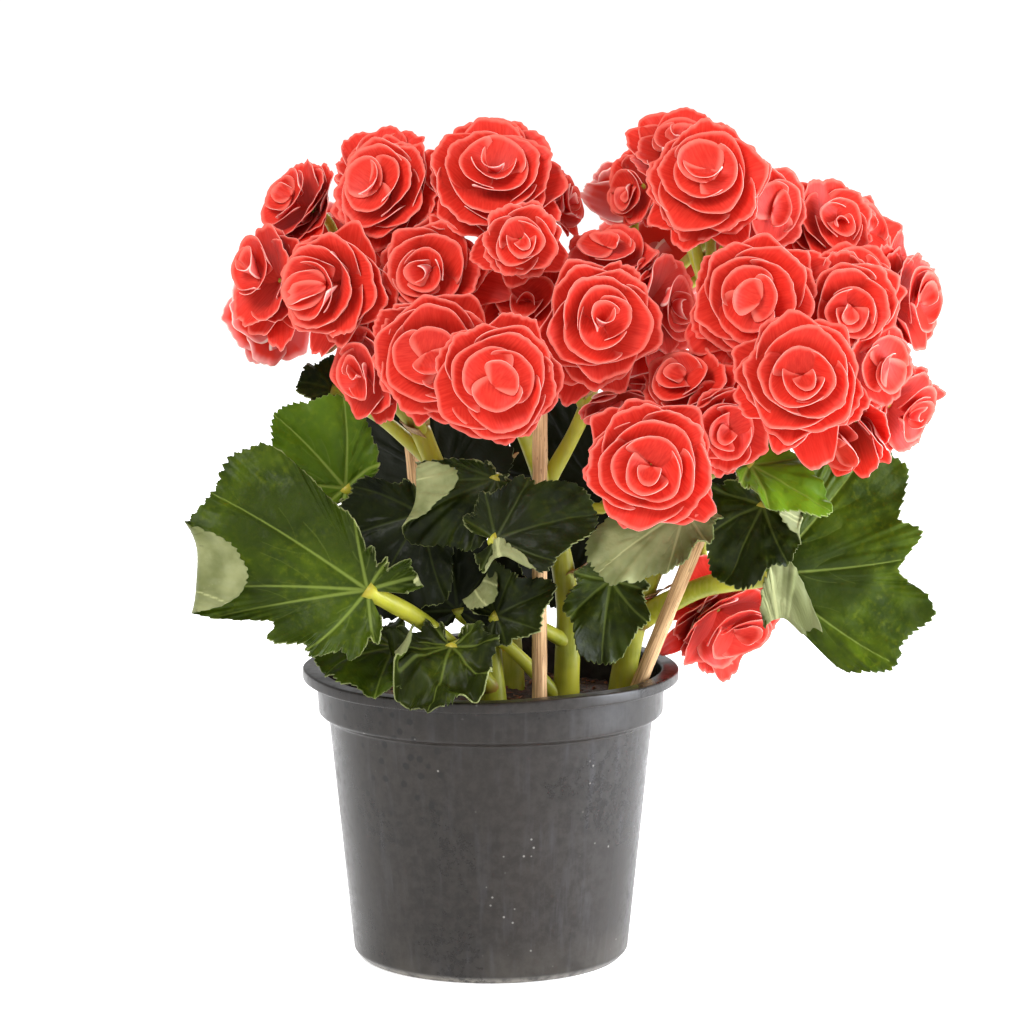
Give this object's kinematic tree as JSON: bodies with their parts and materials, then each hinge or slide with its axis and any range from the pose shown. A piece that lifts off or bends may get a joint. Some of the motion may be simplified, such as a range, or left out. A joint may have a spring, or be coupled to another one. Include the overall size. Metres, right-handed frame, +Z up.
{
  "type": "potted flowering begonia",
  "caption": "Bushy double-flowered begonia in a thin tapered round nursery pot, with ruffled coral blooms over lopsided toothed leaves, branching fleshy stems and plain wooden stakes",
  "frame": {"origin": "the middle of the flat underside of the pot, on the surface it stands on", "axes": "+Z up along the pot, +X to the right and +Y to the back as seen from the front of the plant"},
  "size_m": [0.2738, 0.1766, 0.3166],
  "materials": {
    "pot": "thin charcoal plastic with a soft satin sheen",
    "soil": "loose dark potting soil, rough and dull",
    "stake": "bare light tan split wood",
    "stem": "smooth fleshy yellow-green stems, reddish at the nodes",
    "leaf": "dark green and softly glossy, paler beneath, with light veins",
    "bloom": "soft translucent coral petals with paler edges"
  },
  "bodies": {
    "root": {"pot": "pot", "soil": "soil", "stake_front": "stake", "stake_right": "stake", "stake_left": "stake", "stem_left": "stem", "stem_front": "stem", "stem_right": "stem", "stem_back": "stem", "leaf_left_01": "leaf", "leaf_left_02": "leaf", "leaf_left_03": "leaf", "leaf_left_04": "leaf", "leaf_left_05": "leaf", "leaf_front_01": "leaf", "leaf_front_02": "leaf", "leaf_front_03": "leaf", "leaf_front_04": "leaf", "leaf_front_05": "leaf", "leaf_middle_01": "leaf", "leaf_right_01": "leaf", "leaf_right_02": "leaf", "leaf_right_03": "leaf", "leaf_right_04": "leaf", "leaf_back_01": "leaf", "leaf_back_02": "leaf", "bloom_left_01": "bloom", "bloom_left_02": "bloom", "bloom_left_03": "bloom", "bloom_left_04": "bloom", "bloom_left_05": "bloom", "bloom_left_06": "bloom", "bloom_left_07": "bloom", "bloom_left_08": "bloom", "bloom_left_09": "bloom", "bloom_left_10": "bloom", "bloom_middle_01": "bloom", "bloom_middle_02": "bloom", "bloom_middle_03": "bloom", "bloom_middle_04": "bloom", "bloom_middle_05": "bloom", "bloom_middle_06": "bloom", "bloom_middle_07": "bloom", "bloom_right_01": "bloom", "bloom_right_02": "bloom", "bloom_right_03": "bloom", "bloom_right_04": "bloom", "bloom_right_05": "bloom", "bloom_right_06": "bloom", "bloom_right_07": "bloom", "bloom_right_08": "bloom", "bloom_right_09": "bloom", "bloom_right_10": "bloom", "bloom_low_01": "bloom", "bloom_low_02": "bloom", "bloom_low_03": "bloom", "bloom_back_01": "bloom", "bloom_back_02": "bloom", "bloom_back_03": "bloom", "bloom_back_04": "bloom"}
  },
  "joints": []
}
